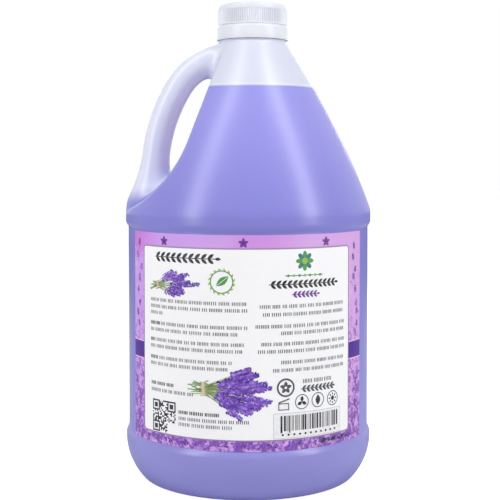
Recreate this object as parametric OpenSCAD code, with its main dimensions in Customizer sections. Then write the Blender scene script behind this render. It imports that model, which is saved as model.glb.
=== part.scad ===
// One-gallon round jug with a hollow side handle, a fill of oil, a wrap
// label and a ribbed screw cap with a tamper band.
// Origin: centre of the base on the body's axis. +Z up, handle towards -X,
// label towards -Y.

/* [Body] */
// Diameter over the shoulder and over the base bulge
bulge_d = 156; // [150:1:164]
// Depth of the label panel below the bulge
panel_inset = 1.7; // [1:0.1:3]
// Wall thickness of the blown body and handle
wall = 1.2; // [0.8:0.1:1.8]
// Height at which the base curve reaches its full width
belly_z = 26.1; // [24:0.1:29]
// Radius of the curve from the base to the bulge
belly_r = 36.5; // [34:0.1:42]
// Height of the upright band of the base bulge
base_band_h = 0.8; // [0.5:0.1:3]
// Height of the foot of the shoulder band, above the label panel
shoulder_z = 163; // [150:1:170]
// Height of the upright band of the shoulder
shoulder_band_h = 3; // [1:0.5:6]
// Radius of the rolled edges on both sides of the label panel
panel_edge_r = 6; // [4:0.5:9]
// Radius of the shoulder where it turns into the cone
shoulder_r = 17; // [10:1:24]
// Radius of the slight crown of the cone, seen from the side
cone_crown_r = 530; // [400:10:1200]

/* [Base] */
// Radius of the corner between base and belly
base_corner_r = 3; // [2:0.5:5]
// Width of the ring that the jug stands on
standing_ring_w = 4; // [3:0.5:6]
// Height of the push-up inside the standing ring
push_up_h = 6; // [3:0.5:10]
// Slope of the wall of the push-up, in degrees
push_up_slope = 50; // [35:1:70]

/* [Neck] */
// Distance from the body's axis to the neck's axis, away from the handle
neck_offset = 2.8; // [0:0.1:5]
// Height of the ledge under the tamper band
ledge_z = 275; // [268:0.5:282]
// Diameter of the ledge
ledge_d = 45.2; // [44:0.1:48]
// Height of the sealing land above the ledge
neck_h = 21.5; // [18:0.5:26]
// Outside diameter of the neck between the threads
neck_d = 35.2; // [34:0.1:36]
// Diameter of the mouth
mouth_d = 31.2; // [28:0.1:32]
// Diameter of the bead that holds the tamper band down
bead_d = 41.2; // [40.6:0.1:42]
// Height of the bead above the ledge
bead_z = 4.4; // [4.2:0.1:5]
// Thickness of the bead
bead_h = 2; // [1:0.1:2.5]

/* [Handle] */
// Depth of the handle's section, from outside to finger side
handle_depth = 17.2; // [14:0.1:20]
// Width of the handle's section, across the parting line
handle_w = 26; // [22:0.5:30]
// Distance of the handle's upper end in from the side of the bulge
handle_inset = 61.3; // [59:0.1:63]
// Slope of the handle's back at its upper end, in degrees
handle_top_slope = 10; // [6:0.5:14]
// Radius of the handle's back below the cap
handle_bend_r = 51; // [46:0.1:54]
// Slope at which the bend turns into the grip, in degrees
handle_bend_end = 58.3; // [54:0.1:62]
// Radius of the handle's back along the grip
grip_r = 112; // [100:1:125]
// Slope at which the grip turns into the root, in degrees
grip_end = 82.7; // [80:0.1:86]
// Radius of the flare from the grip into the shoulder
root_r = 92.4; // [80:0.1:105]
// Slope at which the root turns back towards the shoulder, in degrees
root_end = 63.3; // [61:0.1:66]
// Radius of the turn from the root down into the side of the bulge
foot_r = 17.2; // [14:0.1:20]
// Growth of the section's width where it runs into the shoulder
width_swell = 0.35; // [0:0.05:0.6]
// Growth of the section's depth where it runs into the shoulder
depth_swell = 1.3; // [0.8:0.05:1.5]
// Length of the welded pinch that shuts the lower end of the hollow
pinch_l = 10; // [4:1:20]

/* [Finger recess] */
// Depth of the foot of the flat back, in from the side of the bulge
recess_depth = 41.8; // [39:0.1:44]
// Height of the foot of the flat back
recess_z = 212.4; // [206:0.2:218]
// Lean of the flat back from upright, in degrees
recess_lean = 20; // [17:0.1:23]
// Radius of the sweep from the flat back out to the shoulder
recess_sweep_r = 77.9; // [70:0.1:84]
// Slope at which the sweep leaves the shoulder, in degrees
recess_sweep_end = 70; // [64:1:80]

/* [Oil] */
// Height of the surface of the oil
fill_z = 246; // [180:1:258]

/* [Label] */
// Angle that the label covers, in degrees
label_angle = 130; // [90:1:150]
// Distance from the label's lower edge to the lower edge of the panel
label_low_margin = 0.3; // [0.2:0.1:3]
// Distance from the label's upper edge to the upper edge of the panel
label_top_margin = 1.6; // [0.2:0.1:4]
// Thickness of the label stock
label_t = 0.15; // [0.1:0.05:0.3]

/* [Cap] */
// Diameter over the ribs of the cap
cap_d = 44.1; // [43:0.1:45]
// Thickness of the cap's top
cap_top_t = 1.5; // [1:0.1:2.5]
// Diameter inside the skirt of the cap
skirt_bore_d = 39; // [38.6:0.1:39.6]
// Radius of the cap's top edge
cap_edge_r = 2.4; // [1:0.1:3]
// Height of the smooth rim above the ribs
cap_rim_h = 3.8; // [3:0.1:6]
// Number of grip ribs
rib_count = 100; // [60:2:120]
// Depth of the grip ribs
rib_depth = 0.45; // [0.2:0.05:0.6]
// Thickness of the foam liner
liner_t = 1; // [0.6:0.1:1.5]

/* [Tamper band] */
// Diameter of the tamper band
band_d = 45.8; // [45.4:0.1:47]
// Height of the tamper band
band_h = 9; // [8.6:0.1:9.6]
// Thickness of the tamper band's wall
band_wall = 1.4; // [1:0.1:1.6]
// Height of the bevel at the top of the tamper band
band_bevel_h = 1.4; // [0.8:0.1:2]
// Thickness of the catch flange inside the band
catch_t = 1.4; // [1:0.1:1.8]
// Number of broken bridges between band and cap
bridge_count = 12; // [6:1:20]
// Width of each bridge stub
bridge_w = 1; // [0.6:0.1:1.4]

/* [Clearances] */
// Gap between the band and the ledge below it
ledge_gap = 1.2; // [0.5:0.1:2]
// Gap between the cap's skirt and the band
skirt_gap = 0.4; // [0.3:0.1:0.8]
// Radial gap between band and neck bead, and between liner and skirt
radial_gap = 0.4; // [0.3:0.05:0.5]
// Gap between the oil and the wall
oil_gap = 0.1; // [0.05:0.05:0.3]
// Gap between the label and the panel
label_gap = 0.05; // [0.02:0.01:0.1]

/* [Hidden] */

$fn = 96;
arc_steps = 10;
panel_edge_steps = 4;
bend_steps = 12;
grip_steps = 10;
root_steps = 10;
foot_steps = 4;
ring_points = 24;
corner_steps = 6;
shoulder_steps = 5;
edge_steps = 4;
top_swell = 0.3;
oval_power = 0.82;

bulge_r = bulge_d / 2;
panel_r = bulge_r - panel_inset;
split_z = shoulder_z + shoulder_band_h;
land_z = ledge_z + neck_h;
neck_r = neck_d / 2;
mouth_r = mouth_d / 2;
ledge_r = ledge_d / 2;
ledge_edge_r = 1;
collar_sink = 4;
bore_over = 10;
handle_rise = 0.4;
ledge_drop = 0.2;
root_tuck = 3.6;
foot_rise = 1;
foot_drop = 2.5;
bead_r = bead_d / 2;

// The cone leans from the body's axis to the neck's axis.
cone_lean = atan(neck_offset / (ledge_z - split_z));
cone_sink = 5;
cone_lift = bulge_r * sin(cone_lean) / 2;
cone_tuck = 0.4;
split_tuck = 0.15;
split_overlap = 1;

band_z = ledge_z + ledge_gap;
band_top_z = band_z + band_h;
band_r = band_d / 2;
band_bore_r = band_r - band_wall;
skirt_z = band_top_z + skirt_gap;
liner_top_z = land_z + liner_t;
cap_top_z = liner_top_z + cap_top_t;
cap_r = cap_d / 2;
skirt_bore_r = skirt_bore_d / 2;
bevel_in = band_r - cap_r;
catch_gap = 2 * radial_gap;
stub_rise = skirt_gap / 4;
stub_in = 0.9;
stub_hold = 0.3;
rib_tuck = 0.08;

reach = bulge_d;

// Points of an arc about c from angle a0 to a1.
function arc(c, r, a0, a1, steps = arc_steps) =
    [for (i = [0:steps]) let (a = a0 + (a1 - a0) * i / steps)
        c + r * [cos(a), sin(a)]];

// Centre of the base corner: its arc touches the belly from inside.
belly_c = [bulge_r - belly_r, belly_z];
corner_c = [belly_c[0] + sqrt(pow(belly_r - base_corner_r, 2)
    - pow(belly_z - base_corner_r, 2)), base_corner_r];
corner_a = -atan2(belly_z - base_corner_r, corner_c[0] - belly_c[0]);
ring_in_r = corner_c[0] - standing_ring_w;
push_up_run = push_up_h / tan(push_up_slope);

// Half outline of the lower body, set in by e.
function body_outline(e) =
    let (edge_c = bulge_r - panel_edge_r,
        edge_a = acos((panel_r - e - edge_c) / (panel_edge_r - e)),
        miter = e * tan(push_up_slope / 2))
    concat(
        [[0, push_up_h + e],
         [ring_in_r + miter - push_up_run, push_up_h + e],
         [ring_in_r + miter, e]],
        arc(corner_c, base_corner_r - e, -90, corner_a, corner_steps),
        arc(belly_c, belly_r - e, corner_a, 0),
        arc([edge_c, belly_z + base_band_h], panel_edge_r - e, 0, edge_a,
            panel_edge_steps),
        arc([edge_c, shoulder_z], panel_edge_r - e, -edge_a, 0,
            panel_edge_steps),
        [[bulge_r - e, split_z], [0, split_z]]);

// The cone's crown touches the shoulder arc and ends at the ledge.
shoulder_c = [bulge_r - shoulder_r, 0];
cone_end = [ledge_r - cone_tuck,
    ledge_z - split_z - 2 * ledge_edge_r - cone_lift];
crown_reach = cone_crown_r - shoulder_r;
to_end = cone_end - shoulder_c;
crown_a = atan2(to_end[1], to_end[0]) - 180
    + acos((to_end * to_end + pow(crown_reach, 2) - pow(cone_crown_r, 2))
        / (2 * norm(to_end) * crown_reach));
crown_c = shoulder_c - crown_reach * [cos(crown_a), sin(crown_a)];
crown_end_a = atan2(cone_end[1] - crown_c[1], cone_end[0] - crown_c[0]);

// Half outline of shoulder and cone, set in by e, from the split upwards.
function cone_outline(e) =
    concat(
        [[0, -cone_sink], [bulge_r - split_tuck - e, -cone_sink]],
        arc(shoulder_c, shoulder_r - split_tuck - e, 0, crown_a,
            shoulder_steps),
        arc(crown_c, cone_crown_r - e, crown_a, crown_end_a),
        [[0, cone_end[1] - e * sin(crown_end_a)]]);

module turned(points) {
    rotate_extrude() polygon(points);
}

// Body without handle or recess, set in by e.
module jug_form(e) {
    turned(body_outline(e));
    intersection() {
        translate([0, 0, split_z]) rotate([0, cone_lean, 0])
            translate([0, 0, cone_lift]) turned(cone_outline(e));
        translate([0, 0, split_z - split_overlap + reach])
            cube(2 * reach, center = true);
    }
}

// Finger recess: a flat back that leans out, then a sweep to the shoulder.
// Set in by e, it leaves a wall of that thickness.
module recess_cut(e) {
    start = [recess_depth - bulge_r, recess_z];
    c = start + recess_sweep_r * [-cos(recess_lean), sin(recess_lean)];
    r = recess_sweep_r + e;
    foot = c + r * [cos(recess_lean), -sin(recess_lean)];
    rise = cap_top_z - foot[1];
    end = c + r * [cos(recess_sweep_end), -sin(recess_sweep_end)];
    rotate([90, 0, 0]) linear_extrude(reach, center = true)
        polygon(concat(
            [[foot[0] + rise * tan(recess_lean), cap_top_z]],
            arc(c, r, -recess_lean, -recess_sweep_end),
            [[-reach, end[1] - (end[0] + reach) / tan(recess_sweep_end)],
             [-reach, cap_top_z]]));
}

// Centres of the handle's four arcs, in the plane y = 0.
function inward(slope) = [sin(slope), -cos(slope)];
handle_p0 = [handle_inset - bulge_r, ledge_z + handle_rise];
bend_c = handle_p0 + handle_bend_r * inward(handle_top_slope);
grip_p = bend_c - handle_bend_r * inward(handle_bend_end);
grip_c = grip_p + grip_r * inward(handle_bend_end);
root_p = grip_c - grip_r * inward(grip_end);
root_c = root_p - root_r * inward(grip_end);
foot_p = root_c + root_r * inward(root_end);
foot_c = foot_p + foot_r * inward(root_end);

// Stations of the sweep between two slopes of the handle's back, each with
// the point on the back, the direction across the handle and the swell of
// the section, 0 along the grip and 1 where it runs into the body.
function mix(a, b, t) = a + (b - a) * t;
function bend_stations(slope0) = [for (i = [0:bend_steps])
    let (s = mix(slope0, handle_bend_end, i / bend_steps))
        [bend_c - handle_bend_r * inward(s), inward(s),
         pow(1 - i / bend_steps, 3) * top_swell]];
function grip_stations(slope1) = [for (i = [1:grip_steps])
    let (s = mix(handle_bend_end, slope1, i / grip_steps))
        [grip_c - grip_r * inward(s), inward(s), 0]];
function root_stations() = [for (i = [1:root_steps])
    let (s = mix(grip_end, root_end, i / root_steps))
        [root_c + root_r * inward(s), inward(s), pow(i / root_steps, 2)]];

// The foot's stations stay parallel, so that its tight turn doesn't fold
// them into each other.
function foot_stations() = [for (i = [1:foot_steps])
    let (s = mix(root_end, 90, i / foot_steps))
        [foot_c - foot_r * inward(s), inward(root_end), 1]];

// Below the foot the back runs straight down, and the last station lies
// inside the shoulder and shuts the sweep.
function last_stations() = [
    [[foot_c[0] - foot_r, split_z + foot_rise], inward(root_end), 1],
    [[root_tuck - bulge_r, split_z - foot_drop], inward(root_end), 1]];

// One ring of the sweep, an oval set in by e and held below the ledge.
function handle_ring(st, e) =
    let (a = handle_depth / 2 * (1 + st[2] * depth_swell) - e,
        b = handle_w / 2 * (1 + st[2] * width_swell) - e,
        mid = st[0] + (a + e) * st[1])
    [for (k = [0:ring_points - 1])
        let (t = 360 * (k + 0.5) / ring_points,
            u = -a * sign(cos(t)) * pow(abs(cos(t)), oval_power),
            v = b * sign(sin(t)) * pow(abs(sin(t)), oval_power),
            q = mid + u * st[1])
        [q[0], v, min(q[1], ledge_z - ledge_drop - e)]];

module sweep(stations, e) {
    n = ring_points;
    last = (len(stations) - 1) * n;
    polyhedron(
        points = [for (st = stations) each handle_ring(st, e)],
        faces = concat(
            [[for (k = [0:n - 1]) k]],
            [[for (k = [0:n - 1]) last + n - 1 - k]],
            [for (j = [0:len(stations) - 2], k = [0:n - 1])
                let (a = j * n + k, b = j * n + (k + 1) % n)
                each [[a, a + n, b], [b, a + n, b + n]]]));
}

module handle() {
    sweep(concat(bend_stations(handle_top_slope / 2),
        grip_stations(grip_end), root_stations(), foot_stations(),
        last_stations()), 0);
}

module handle_hollow() {
    sweep(concat(bend_stations(handle_top_slope),
        grip_stations(grip_end - pinch_l / grip_r * 180 / PI)), wall);
}

module neck_axis() {
    translate([neck_offset, 0, 0]) children();
}

// Ledge, plain neck and the bead that catches the tamper band.
module neck() {
    neck_axis() {
        turned(concat(
            [[0, ledge_z - collar_sink], [ledge_r, ledge_z - collar_sink]],
            arc([ledge_r - ledge_edge_r, ledge_z - ledge_edge_r],
                ledge_edge_r, 0, 90, edge_steps),
            [[0, ledge_z]]));
        translate([0, 0, ledge_z - collar_sink])
            cylinder(h = neck_h + collar_sink, r = neck_r);
        translate([0, 0, ledge_z + bead_z])
            cylinder(h = bead_h, r = bead_r - radial_gap);
    }
}

// Jug with its recess, set in by e from its outside.
module jug_solid(e) {
    difference() {
        jug_form(e);
        recess_cut(e);
    }
}

module bottle() {
    color([0.80, 0.82, 0.94]) difference() {
        union() {
            jug_solid(0);
            handle();
            neck();
        }
        jug_solid(wall);
        handle_hollow();
        neck_axis() translate([0, 0, ledge_z - bore_over])
            cylinder(h = neck_h + 2 * bore_over, r = mouth_r);
    }
}

module oil_fill() {
    color([0.56, 0.57, 0.87]) intersection() {
        jug_solid(wall + oil_gap);
        cylinder(h = fill_z, r = reach);
    }
}

// Wrap label: an arc of the panel's cylinder.
module label() {
    edge_a = acos((panel_r - bulge_r + panel_edge_r) / panel_edge_r);
    z0 = belly_z + base_band_h + panel_edge_r * sin(edge_a)
        + label_low_margin;
    z1 = shoulder_z - panel_edge_r * sin(edge_a) - label_top_margin;
    r0 = panel_r + label_gap;
    color([0.86, 0.74, 0.93]) rotate([0, 0, -90 - label_angle / 2])
        rotate_extrude(angle = label_angle)
            translate([r0, z0]) square([label_t, z1 - z0]);
}

// Broken-free tamper band with its inner catch flange and bridge stubs.
module tamper_ring() {
    catch_r = neck_r + catch_gap;
    color([0.87, 0.88, 0.94]) neck_axis() {
        turned([
            [band_bore_r, band_z + catch_t],
            [catch_r, band_z + catch_t],
            [catch_r, band_z],
            [band_r, band_z],
            [band_r, band_top_z - band_bevel_h],
            [band_r - bevel_in, band_top_z],
            [band_bore_r, band_top_z]]);
        for (i = [0:bridge_count - 1])
            rotate([0, 0, i * 360 / bridge_count])
                translate([band_bore_r - stub_in, -bridge_w / 2,
                    band_top_z - band_bevel_h])
                    cube([stub_in + stub_hold, bridge_w,
                        band_bevel_h + stub_rise]);
    }
}

module cap_liner() {
    color([0.95, 0.95, 0.95]) neck_axis() translate([0, 0, land_z])
        cylinder(h = liner_t, r = skirt_bore_r - radial_gap);
}

// Ribbed skirt: the ribs are the teeth of one extruded outline.
module rib_ring(h) {
    step = 180 / rib_count;
    linear_extrude(h) polygon([for (i = [0:2 * rib_count - 1])
        (cap_r - rib_tuck - (i % 2 == 0 ? 0 : rib_depth))
            * [cos(i * step), sin(i * step)]]);
}

module cap() {
    rib_h = cap_top_z - cap_rim_h - skirt_z;
    color([0.88, 0.89, 0.95]) neck_axis() difference() {
        union() {
            translate([0, 0, skirt_z]) rib_ring(rib_h);
            turned(concat(
                [[0, skirt_z + rib_h], [cap_r, skirt_z + rib_h]],
                arc([cap_r - cap_edge_r, cap_top_z - cap_edge_r],
                    cap_edge_r, 0, 90, corner_steps),
                [[0, cap_top_z]]));
        }
        cylinder(h = liner_top_z, r = skirt_bore_r);
    }
}

bottle();
oil_fill();
label();
tamper_ring();
cap_liner();
cap();
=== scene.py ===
import math
import random

import bmesh
import bpy
import numpy as np
from mathutils import Matrix, Vector


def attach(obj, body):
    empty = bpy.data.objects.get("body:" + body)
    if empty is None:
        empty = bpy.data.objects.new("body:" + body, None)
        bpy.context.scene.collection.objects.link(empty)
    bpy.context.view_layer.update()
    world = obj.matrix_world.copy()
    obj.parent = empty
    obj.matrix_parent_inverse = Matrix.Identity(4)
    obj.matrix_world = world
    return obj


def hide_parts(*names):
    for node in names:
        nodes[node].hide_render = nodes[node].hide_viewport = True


mm = 0.001

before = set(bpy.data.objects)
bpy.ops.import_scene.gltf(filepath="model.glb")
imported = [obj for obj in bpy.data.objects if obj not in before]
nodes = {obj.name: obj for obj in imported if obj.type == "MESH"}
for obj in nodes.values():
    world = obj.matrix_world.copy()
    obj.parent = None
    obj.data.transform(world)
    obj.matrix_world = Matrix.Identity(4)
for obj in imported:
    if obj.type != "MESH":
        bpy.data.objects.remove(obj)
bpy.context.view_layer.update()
scene = bpy.context.scene


def makeObject(name, bm, material, smoothAngle=40):
    mesh = bpy.data.meshes.new(name)
    bm.to_mesh(mesh)
    bm.free()
    mesh.shade_smooth()
    mesh.set_sharp_from_angle(angle=math.radians(smoothAngle))
    mesh.materials.append(material)
    obj = bpy.data.objects.new(name, mesh)
    scene.collection.objects.link(obj)
    return obj


def lathe(points, steps, insets=None):
    # points are (radius, height) in millimetres, bottom first
    bm = bmesh.new()
    inset = bm.verts.layers.float.new("inset")
    chain = []
    for i, (r, z) in enumerate(points):
        vert = bm.verts.new((r * mm, 0, z * mm))
        vert[inset] = insets[i] if insets else 0
        chain.append(vert)
    edges = [bm.edges.new(pair) for pair in zip(chain, chain[1:])]
    bmesh.ops.spin(bm, geom=chain + edges, cent=(0, 0, 0), axis=(0, 0, 1), dvec=(0, 0, 0),
                   angle=math.tau, steps=steps, use_merge=True, use_duplicate=False)
    bmesh.ops.remove_doubles(bm, verts=bm.verts, dist=1e-7)
    bmesh.ops.recalc_face_normals(bm, faces=bm.faces)
    return bm


def arc(cx, cz, radius, start, end, steps):
    angles = [math.radians(start + (end - start) * i / steps) for i in range(steps + 1)]
    return [(cx + radius * math.cos(a), cz + radius * math.sin(a)) for a in angles]


def smoothStep(value, low, high):
    t = np.clip((value - low) / (high - low), 0, 1)
    return t * t * (3 - 2 * t)


def pullIn(vert, share):
    # scales a vertex's distance from the z axis
    vert.co.x *= share
    vert.co.y *= share


class Sock:
    def __init__(self, shader, socket):
        self.shader = shader
        self.socket = socket

    def calc(self, operation, *values):
        return self.shader.node("ShaderNodeMath", {"operation": operation}, dict(enumerate(values)))

    def __add__(self, other):
        return self.calc("ADD", self, other)

    def __radd__(self, other):
        return self.calc("ADD", other, self)

    def __sub__(self, other):
        return self.calc("SUBTRACT", self, other)

    def __rsub__(self, other):
        return self.calc("SUBTRACT", other, self)

    def __mul__(self, other):
        return self.calc("MULTIPLY", self, other)

    def __rmul__(self, other):
        return self.calc("MULTIPLY", other, self)

    def __truediv__(self, other):
        return self.calc("DIVIDE", self, other)

    def __pow__(self, other):
        return self.calc("POWER", self, other)

    def __abs__(self):
        return self.calc("ABSOLUTE", self)

    def between(self, low, high):
        # 0 below low, 1 above high
        return self.shader.node("ShaderNodeMapRange", {"interpolation_type": "SMOOTHSTEP"},
                                {"Value": self, "From Min": low, "From Max": high})


class Shader:
    def __init__(self, name):
        self.material = bpy.data.materials.new(name)
        self.material.use_nodes = True
        self.tree = self.material.node_tree
        self.bsdf = self.tree.nodes["Principled BSDF"]

    def node(self, kind, settings=None, inputs=None, output=0):
        made = self.tree.nodes.new(kind)
        for key, value in (settings or {}).items():
            setattr(made, key, value)
        for key, value in (inputs or {}).items():
            self.feed(made.inputs[key], value)
        return Sock(self, made.outputs[output])

    def feed(self, target, value):
        if isinstance(value, Sock):
            self.tree.links.new(value.socket, target)
        elif isinstance(value, tuple) and len(value) == 3 and target.type == "RGBA":
            target.default_value = (*value, 1)
        else:
            target.default_value = value

    def coords(self):
        return self.node("ShaderNodeTexCoord", output=3)

    def split(self, vector):
        made = self.tree.nodes.new("ShaderNodeSeparateXYZ")
        self.feed(made.inputs[0], vector)
        return [Sock(self, out) for out in made.outputs]

    def xyz(self):
        # object coordinates in millimetres
        return [axis * 1000 for axis in self.split(self.coords())]

    def facing(self):
        return self.split(self.node("ShaderNodeTexCoord", output=1))

    def noise(self, scale, detail=2, roughness=0.5):
        return self.node("ShaderNodeTexNoise", {"noise_dimensions": "3D"},
                         {"Vector": self.coords(), "Scale": scale, "Detail": detail,
                          "Roughness": roughness})

    def mix(self, factor, first, second):
        return self.node("ShaderNodeMix", {"data_type": "RGBA"},
                         {0: factor, 6: first, 7: second}, 2)

    def bump(self, height, distance):
        return self.node("ShaderNodeBump", None, {"Height": height, "Distance": distance})

    def set(self, **values):
        for key, value in values.items():
            self.feed(self.bsdf.inputs[key.replace("_", " ")], value)


def linear(red, green, blue):
    # screen colour 0-255 to Blender's linear colour
    parts = [c / 255 for c in (red, green, blue)]
    return tuple(c / 12.92 if c <= 0.04045 else ((c + 0.055) / 1.055) ** 2.4 for c in parts)


jug = {
    "bulgeR": 78.0,
    "panelR": 76.3,
    "wall": 1.2,
    "ringInner": 4.0,
    "pushUp": 6.0,
    "pushUpSlope": 50.0,
    "cornerR": 3.0,
    "bellyZ": 26.1,
    "bellyR": 36.5,
    "baseBandH": 0.8,
    "bandH": 3.0,
    "edgeR": 6.0,
    "shoulderZ": 163.0,
    "shoulderR": 17.0,
    "crownR": 530.0,
    "neckShift": 2.8,
    "ledgeZ": 275.0,
    "ledgeR": 22.6,
    "collarR": 21.7,
    "collarZ": 275.85,
    "neckR": 17.6,
    "landZ": 296.5,
    "mouthR": 15.6,
    "beadR": 20.2,
    "beadZ": 279.4,
    "beadH": 2.0,
    "columns": 200,
    "fillZ": 246.0,
    "recessFoot": (-36.2, 212.4),
    "recessLean": 20.0,
    "recessR": 77.9,
    "recessRound": 2.4,
    "handleFrom": (-16.7, 275.4),
    "handleDepth": 17.2,
    "handleWidth": 26.0,
    "handleArcs": ((51.0, 10.0, 58.3), (112.0, 58.3, 82.7), (92.4, 82.7, 63.3)),
    "handleFootR": 17.2,
    "depthSwell": 1.3,
    "widthSwell": 0.35,
    "handleOval": 0.82,
    "handleTop": 274.8,
    "handleEnd": (3.6, 2.5),                 # in from the bulge, below the cone's foot
    "filletLow": 3.2,
    "filletHigh": 6.8,
    "filletRise": (200, 250),
    "slack": 0.04,
    "creaseAbove": 178.0,                    # the rim lies on the crease from here up
    "smoothWithin": 9.0,
    "smoothRounds": 12,
    "topPatch": (253.4, 273.6, 11, 14),      # low row, high row, rows, half columns
    "footPatch": (171.5, 191.0, 23, 8),
}


coneFoot = jug["shoulderZ"] + jug["bandH"]


def coneOutline(inset):
    # shoulder arc, then the long crown up to the ledge, as (radius, height)
    centre = np.array((jug["bulgeR"] - jug["shoulderR"], 0.0))
    end = np.array((jug["ledgeR"], jug["ledgeZ"] - coneFoot - 1.0))
    reach = jug["crownR"] - jug["shoulderR"]
    toEnd = end - centre
    turn = math.acos((toEnd @ toEnd + reach ** 2 - jug["crownR"] ** 2)
                     / (2 * np.linalg.norm(toEnd) * reach))
    joint = math.atan2(toEnd[1], toEnd[0]) - math.pi + turn
    crown = centre - reach * np.array((math.cos(joint), math.sin(joint)))
    last = math.atan2(end[1] - crown[1], end[0] - crown[0])
    joint, last = math.degrees(joint), math.degrees(last)
    points = arc(centre[0], centre[1] + coneFoot, jug["shoulderR"] - inset, 0, joint, 24)
    points += arc(crown[0], crown[1] + coneFoot, jug["crownR"] - inset, joint, last, 60)[1:]
    return points


coneTable = np.array(coneOutline(0))


def coneRadius(z):
    return np.interp(z, coneTable[:, 1], coneTable[:, 0])


def shiftAt(z):
    return jug["neckShift"] * np.clip((z - coneFoot) / (jug["ledgeZ"] - coneFoot), 0, 1)


def recessParts(x, z):
    # of the finger recess: gap to the flat back, gap to the sweep, way up along the flat back
    lean = math.radians(jug["recessLean"])
    fx, fz = jug["recessFoot"]
    cx = fx - jug["recessR"] * math.cos(lean)
    cz = fz + jug["recessR"] * math.sin(lean)
    flat = (z - fz) * math.sin(lean) - (x - fx) * math.cos(lean)
    swept = jug["recessR"] - ((x - cx) ** 2 + (z - cz) ** 2) ** 0.5
    return flat, swept, (x - fx) * math.sin(lean) + (z - fz) * math.cos(lean)


def recessX(z, inset):
    # x of the recess's surface at a height
    lean = math.radians(jug["recessLean"])
    fx, fz = jug["recessFoot"]
    radius = jug["recessR"] + inset
    cx = fx - jug["recessR"] * math.cos(lean)
    cz = fz + jug["recessR"] * math.sin(lean)
    joint = cz - radius * math.sin(lean)
    low = cx + np.sqrt(np.maximum(radius ** 2 - (z - cz) ** 2, 0))
    high = cx + radius * math.cos(lean) + (z - joint) * math.tan(lean)
    return np.where(z > joint, high, np.where(z < cz - radius, -200.0, low))


def softMax(a, b, soft):
    h = np.maximum(soft - np.abs(a - b), 0) / soft
    return np.maximum(a, b) + h * h * soft / 4


def softMin(a, b, soft):
    return -softMax(-a, -b, soft)


def jugGap(p):
    # rough distance from the jug without its handle, in millimetres
    x, y, z = p[:, 0], p[:, 1], p[:, 2]
    radius = coneRadius(z)
    slope = coneRadius(z + 0.5) - coneRadius(z - 0.5)
    turned = (np.hypot(x - shiftAt(z), y) - radius) / np.sqrt(1 + slope ** 2)
    flat, swept, above = recessParts(x, z)
    return softMax(turned, np.where(above > 0, flat, swept), jug["recessRound"])


def inward(slope):
    slope = math.radians(slope)
    return np.array((math.sin(slope), -math.cos(slope)))


def handleStations():
    # back point, inward direction, half depth and half width down the handle
    rows = []
    start = np.array(jug["handleFrom"])
    (bendR, top, bendEnd), (gripR, _, gripEnd), (rootR, _, rootEnd) = jug["handleArcs"]
    bend = start + bendR * inward(top)
    grip = bend + (gripR - bendR) * inward(bendEnd)
    root = grip - (gripR + rootR) * inward(gripEnd)
    for s in np.linspace(-40, bendEnd, 200):
        swell = 0.3 * max(0.0, 1 - max(0.0, s - top) / (bendEnd - top)) ** 3
        rows.append((bend - bendR * inward(s), inward(s), swell, s))
    for s in np.linspace(bendEnd, gripEnd, 120)[1:]:
        rows.append((grip - gripR * inward(s), inward(s), 0.0, s))
    for s in np.linspace(gripEnd, rootEnd, 140)[1:]:
        swell = ((gripEnd - s) / (gripEnd - rootEnd)) ** 2
        rows.append((root + rootR * inward(s), inward(s), swell, 2 * gripEnd - s))
    turn = rows[-1][0] + jug["handleFootR"] * inward(rootEnd)
    for s in np.linspace(rootEnd, 90, 30)[1:]:
        rows.append((turn - jug["handleFootR"] * inward(s), inward(rootEnd), 1.0, 103 + s / 100))
    endIn, endDown = jug["handleEnd"]
    for x, z in ((rows[-1][0][0], coneFoot + 1.0), (endIn - jug["bulgeR"], coneFoot - endDown)):
        back = rows[-1][0]
        for t in np.linspace(0, 1, 16)[1:]:
            rows.append((back + (np.array((x, z)) - back) * t, inward(rootEnd), 1.0, 104 + t))
    backs = np.array([r[0] for r in rows])
    ways = np.array([r[1] for r in rows])
    swells = np.array([r[2] for r in rows])
    depth = jug["handleDepth"] / 2 * (1 + jug["depthSwell"] * swells)
    width = jug["handleWidth"] / 2 * (1 + jug["widthSwell"] * swells)
    return backs, ways, depth, width, np.array([r[3] for r in rows])


backs, ways, halfDepths, halfWidths, slopes = handleStations()
middles = backs + ways * halfDepths[:, None]


def handleGap(p):
    # rough distance from the handle's surface, in the plane of the station it lies in
    dx = p[:, 0, None] - middles[None, :, 0]
    dz = p[:, 2, None] - middles[None, :, 1]
    across = dx * ways[:, 0] + dz * ways[:, 1]
    along = np.abs(dx * ways[:, 1] - dz * ways[:, 0])
    nearest = (along + 0.6 * np.maximum(np.abs(across) - halfDepths - 2, 0)).argmin(1)
    u = across[np.arange(len(p)), nearest]
    v = p[:, 1]
    power = 2 / jug["handleOval"]
    oval = ((np.abs(u) / halfDepths[nearest]) ** power
            + (np.abs(v) / halfWidths[nearest]) ** power) ** (1 / power)
    oval = np.maximum(oval, 0.05)
    gap = np.hypot(u, v) * (1 - 1 / oval)
    return softMax(gap, p[:, 2] - jug["handleTop"], 0.8)


def wholeGap(p):
    rise = smoothStep(p[:, 2], *jug["filletRise"])
    soft = jug["filletLow"] + (jug["filletHigh"] - jug["filletLow"]) * rise
    return softMin(jugGap(p), handleGap(p), soft)


def settle(verts, rounds):
    # moves vertices onto the blended skin of jug and handle
    p = np.array([v.co for v in verts]) / mm
    step = 0.02
    for _ in range(rounds):
        gap = wholeGap(p)
        slope = np.stack([(wholeGap(p + d) - gap) / step for d in np.eye(3) * step], axis=1)
        size = np.maximum((slope ** 2).sum(1), 0.2)
        p -= np.clip(gap / size, -2, 2)[:, None] * slope
    for vert, place in zip(verts, p):
        vert.co = place * mm


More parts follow.
